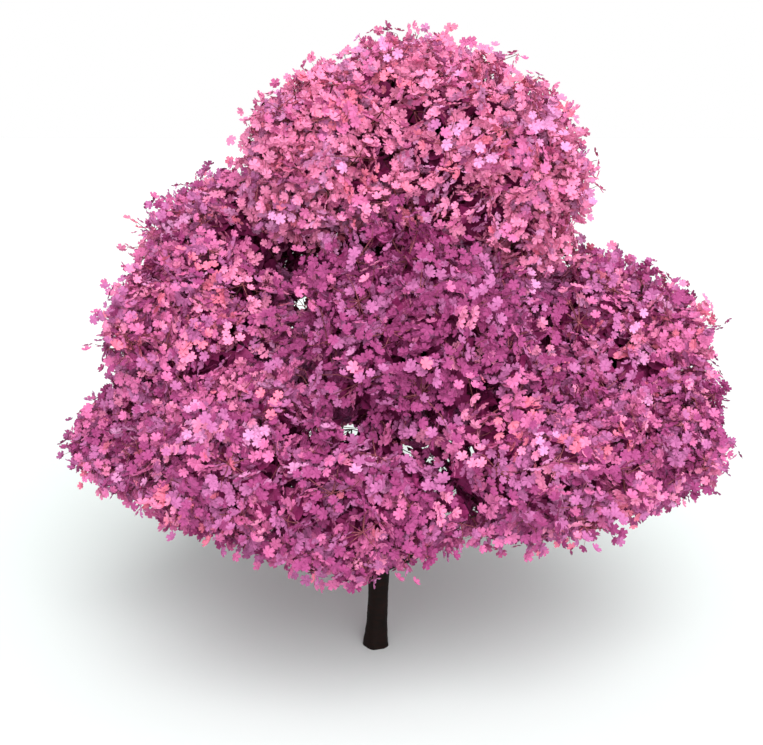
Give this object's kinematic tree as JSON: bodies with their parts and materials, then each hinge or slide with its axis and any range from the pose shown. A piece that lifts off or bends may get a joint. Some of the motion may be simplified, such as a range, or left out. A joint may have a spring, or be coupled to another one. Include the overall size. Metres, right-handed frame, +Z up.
{
  "type": "japanese flowering cherry",
  "caption": "Whole flowering cherry in full pink blossom: a short dark trunk that forks low into spreading boughs, each ending in a dense rounded mass of blossom.",
  "frame": {"origin": "middle of the flat cut under the trunk, at ground level", "axes": "+Z up; the pictured side faces -Y, and that view's right-hand side is +X"},
  "size_m": [6.1634, 5.286, 5.958],
  "materials": {
    "bark": "very dark brown bark with fine horizontal bands of pores",
    "blossom": "soft matt petals, from light warm pink through mauve to deep magenta"
  },
  "bodies": {
    "root": {"trunk": "bark", "bough_top": "bark", "bough_left": "bark", "bough_right": "bark", "bough_front_right": "bark", "bough_front_left": "bark", "bough_back": "bark", "bough_low_left": "bark", "bough_left_shoulder": "bark", "bough_front": "bark", "bough_low_right": "bark", "bough_back_right": "bark", "bough_back_left": "bark", "bough_centre": "bark", "bough_upper_back": "bark", "bough_top_right": "bark", "bough_top_left": "bark", "blossom_top": "blossom", "blossom_left": "blossom", "blossom_right": "blossom", "blossom_front_right": "blossom", "blossom_front_left": "blossom", "blossom_back": "blossom", "blossom_low_left": "blossom", "blossom_left_shoulder": "blossom", "blossom_front": "blossom", "blossom_low_right": "blossom", "blossom_back_right": "blossom", "blossom_back_left": "blossom", "blossom_centre": "blossom", "blossom_upper_back": "blossom", "blossom_top_right": "blossom", "blossom_top_left": "blossom"}
  },
  "joints": []
}
